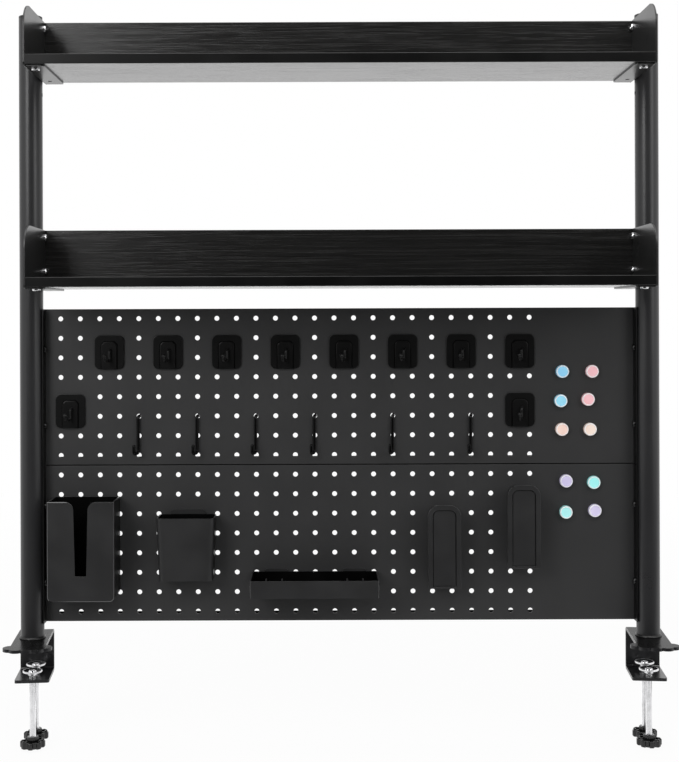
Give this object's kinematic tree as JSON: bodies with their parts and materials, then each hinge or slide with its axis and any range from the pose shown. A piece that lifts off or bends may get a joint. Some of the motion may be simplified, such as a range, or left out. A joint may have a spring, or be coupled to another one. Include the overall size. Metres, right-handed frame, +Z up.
{
  "type": "clamp-on desk pegboard",
  "caption": "Desk organizer frame of round posts on screw clamps, carrying railed shelves and a perforated steel board with pull-out holders, hooks and magnets.",
  "frame": {"origin": "midway between the post axes, on the desk top where the clamps' top plates rest", "axes": "+X to the right, +Y away from the user through the board, +Z up along the posts"},
  "size_m": [0.8496, 0.1603, 0.9441],
  "materials": {
    "post_paint": "satin black powder coat",
    "cap_plastic": "moulded black",
    "plain_steel": "zinc plated",
    "clamp_paint": "satin black powder coat",
    "pad_chrome": "bright plating",
    "bolt_chrome": "bright plating",
    "knob_plastic": "moulded black",
    "shelf_laminate": "black wood-grain laminate on board",
    "bracket_paint": "satin black powder coat",
    "black_screw": "blackened steel",
    "panel_paint": "fine black powder coat",
    "fitting_plastic": "fine matt black moulding",
    "hook_paint": "black coated steel",
    "wire_paint": "black coated wire",
    "blue_plastic": "pale blue cap over a magnet",
    "pink_plastic": "pale pink cap over a magnet",
    "peach_plastic": "peach cap over a magnet",
    "lavender_plastic": "lavender cap over a magnet",
    "turquoise_plastic": "turquoise cap over a magnet"
  },
  "bodies": {
    "frame": {"left_post": "post_paint", "left_post_cap": "cap_plastic", "left_foot_plug": "plain_steel", "left_foot_screw": "plain_steel", "left_clamp_bracket": "clamp_paint", "right_post": "post_paint", "right_post_cap": "cap_plastic", "right_foot_plug": "plain_steel", "right_foot_screw": "plain_steel", "right_clamp_bracket": "clamp_paint", "middle_shelf_board": "shelf_laminate", "middle_back_rail": "shelf_laminate", "middle_left_end_bracket": "bracket_paint", "middle_right_end_bracket": "bracket_paint", "top_shelf_board": "shelf_laminate", "top_back_rail": "shelf_laminate", "top_left_end_bracket": "bracket_paint", "top_right_end_bracket": "bracket_paint", "post_screws": "bolt_chrome", "board_screws": "bolt_chrome", "rail_screws": "black_screw", "panel_screws": "black_screw", "lower_panel": "panel_paint", "upper_panel": "panel_paint", "plate_hooks": "hook_paint", "wire_hooks": "wire_paint", "blue_magnets": "blue_plastic", "pink_magnets": "pink_plastic", "peach_magnets": "peach_plastic", "lavender_magnets": "lavender_plastic", "turquoise_magnets": "turquoise_plastic"},
    "left_front_pad": {"left_front_clamp_pad": "pad_chrome"},
    "left_front_screw": {"left_front_clamp_bolt": "bolt_chrome", "left_front_clamp_knob": "knob_plastic"},
    "left_rear_pad": {"left_rear_clamp_pad": "pad_chrome"},
    "left_rear_screw": {"left_rear_clamp_bolt": "bolt_chrome", "left_rear_clamp_knob": "knob_plastic"},
    "right_front_pad": {"right_front_clamp_pad": "pad_chrome"},
    "right_front_screw": {"right_front_clamp_bolt": "bolt_chrome", "right_front_clamp_knob": "knob_plastic"},
    "right_rear_pad": {"right_rear_clamp_pad": "pad_chrome"},
    "right_rear_screw": {"right_rear_clamp_bolt": "bolt_chrome", "right_rear_clamp_knob": "knob_plastic"},
    "slotted_box": {"slotted_box": "fitting_plastic"},
    "pen_cup": {"pen_cup": "fitting_plastic"},
    "parts_tray": {"parts_tray": "fitting_plastic"},
    "left_loop_hanger": {"left_loop_hanger": "fitting_plastic"},
    "right_loop_hanger": {"right_loop_hanger": "fitting_plastic"}
  },
  "joints": [
    {"name": "left_front_travel", "type": "slide", "parent": "frame", "child": "left_front_pad", "axis": [0, 0, 1], "range_m": [-0.0037, 0.037]},
    {"name": "left_front_turn", "type": "hinge", "parent": "left_front_pad", "child": "left_front_screw", "pos_m": [-0.39823, -0.00299, -0.09], "axis": [0, 0, 1], "range_deg": [-1068, 10658]},
    {"name": "left_rear_travel", "type": "slide", "parent": "frame", "child": "left_rear_pad", "axis": [0, 0, 1], "range_m": [-0.0037, 0.037]},
    {"name": "left_rear_turn", "type": "hinge", "parent": "left_rear_pad", "child": "left_rear_screw", "pos_m": [-0.40131, 0.03087, -0.09], "axis": [0, 0, 1], "range_deg": [-1068, 10658]},
    {"name": "right_front_travel", "type": "slide", "parent": "frame", "child": "right_front_pad", "axis": [0, 0, 1], "range_m": [-0.0037, 0.037]},
    {"name": "right_front_turn", "type": "hinge", "parent": "right_front_pad", "child": "right_front_screw", "pos_m": [0.39823, -0.00299, -0.09], "axis": [0, 0, 1], "range_deg": [-1068, 10658]},
    {"name": "right_rear_travel", "type": "slide", "parent": "frame", "child": "right_rear_pad", "axis": [0, 0, 1], "range_m": [-0.0037, 0.037]},
    {"name": "right_rear_turn", "type": "hinge", "parent": "right_rear_pad", "child": "right_rear_screw", "pos_m": [0.40131, 0.03087, -0.09], "axis": [0, 0, 1], "range_deg": [-1068, 10658]},
    {"name": "slotted_box_pull", "type": "slide", "parent": "frame", "child": "slotted_box", "axis": [0, -1, 0], "range_m": [0, 0.012]},
    {"name": "pen_cup_pull", "type": "slide", "parent": "frame", "child": "pen_cup", "axis": [0, -1, 0], "range_m": [0, 0.012]},
    {"name": "parts_tray_pull", "type": "slide", "parent": "frame", "child": "parts_tray", "axis": [0, -1, 0], "range_m": [0, 0.012]},
    {"name": "left_loop_hanger_pull", "type": "slide", "parent": "frame", "child": "left_loop_hanger", "axis": [0, -1, 0], "range_m": [0, 0.012]},
    {"name": "right_loop_hanger_pull", "type": "slide", "parent": "frame", "child": "right_loop_hanger", "axis": [0, -1, 0], "range_m": [0, 0.012]}
  ],
  "couplings": [
    {"joint": "left_front_turn", "follows": "left_front_travel", "rad_per_m": 5026.5},
    {"joint": "left_rear_turn", "follows": "left_rear_travel", "rad_per_m": 5026.5},
    {"joint": "right_front_turn", "follows": "right_front_travel", "rad_per_m": 5026.5},
    {"joint": "right_rear_turn", "follows": "right_rear_travel", "rad_per_m": 5026.5}
  ]
}
